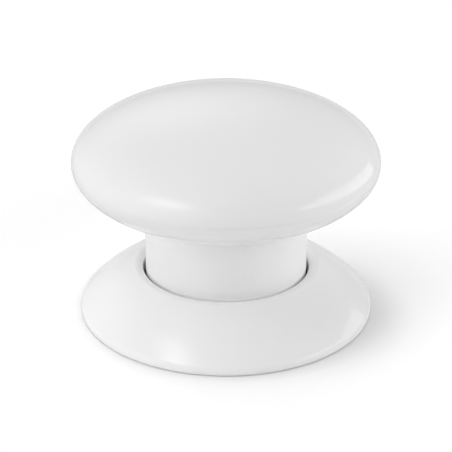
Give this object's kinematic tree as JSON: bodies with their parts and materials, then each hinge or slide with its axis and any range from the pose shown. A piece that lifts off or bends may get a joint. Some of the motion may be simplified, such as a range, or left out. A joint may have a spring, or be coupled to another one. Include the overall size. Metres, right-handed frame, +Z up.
{
  "type": "smart button",
  "caption": "Wireless mushroom push button: an oblate head on a round stem that sinks into a flared stick-on foot and presses a switch.",
  "frame": {"origin": "on the resting plane under the middle of the foot, at the centre of the adhesive pad's face", "axes": "+Z up along the stem, +X and +Y across the round foot, with a bayonet lug and the ground strip towards +X"},
  "size_m": [0.046, 0.046, 0.034],
  "materials": {
    "gloss_head": "polished white moulded plastic",
    "gloss_foot": "polished white moulded plastic",
    "satin_stem": "satin white moulded plastic",
    "plate_plastic": "finely eroded white moulded plastic",
    "tube_plastic": "natural white moulded plastic",
    "pad_foam": "adhesive foam with a release sheen",
    "screw_steel": "zinc-plated steel",
    "spring_steel": "drawn stainless spring steel",
    "contact_metal": "nickel-plated spring bronze",
    "cell_steel": "nickel-plated deep-drawn steel",
    "cell_wrap": "shrunk plastic film",
    "cell_seal": "pressed insulating washer",
    "board_laminate": "glass laminate under solder mask",
    "black_plastic": "filled black moulding compound",
    "plunger_plastic": "natural nylon",
    "led_lens": "clear moulded epoxy over white case",
    "chip_ceramic": "fired ceramic with tinned ends",
    "shield_tin": "tinned sheet",
    "capacitor_can": "drawn aluminium can on a black foot"
  },
  "bodies": {
    "base": {"base_shell": "gloss_foot", "base_plate": "plate_plastic", "plate_screws": "screw_steel", "adhesive_pad": "pad_foam", "contact_plate": "contact_metal"},
    "carrier": {"battery_tube": "tube_plastic", "ground_strip": "contact_metal", "battery_can": "cell_steel", "battery_sleeve": "cell_wrap", "battery_gasket": "cell_seal", "battery_terminal": "cell_steel", "board_tray": "tube_plastic", "retaining_ring": "spring_steel", "main_board": "board_laminate", "board_screws": "screw_steel", "positive_contact": "contact_metal", "switch_body": "black_plastic", "switch_cover": "screw_steel", "switch_dome": "spring_steel", "microcontroller": "black_plastic", "crystal": "cell_steel", "status_led": "led_lens", "chip_components": "chip_ceramic", "radio_module": "board_laminate", "radio_shield": "shield_tin", "sounder": "black_plastic", "buffer_capacitor": "capacitor_can", "antenna": "contact_metal"},
    "head": {"dome_cap": "gloss_head", "lower_shell": "gloss_head", "stem_sleeve": "satin_stem", "return_spring": "spring_steel"},
    "plunger": {"switch_plunger": "plunger_plastic"}
  },
  "joints": [
    {"name": "head_twist", "type": "hinge", "parent": "base", "child": "carrier", "pos_m": [0, 0, 0], "axis": [0, 0, 1], "range_deg": [0, 45]},
    {"name": "head_press", "type": "slide", "parent": "carrier", "child": "head", "axis": [0, 0, 1], "range_m": [-0.0007, 0], "stiffness_N_per_m": 800, "springref_m": 0.002, "deforming": ["return_spring"]},
    {"name": "plunger_press", "type": "slide", "parent": "carrier", "child": "plunger", "axis": [0, 0, 1], "range_m": [-0.0007, 0], "deforming": ["switch_dome"]}
  ],
  "couplings": [
    {"joint": "plunger_press", "follows": "head_press", "ratio": 1}
  ]
}
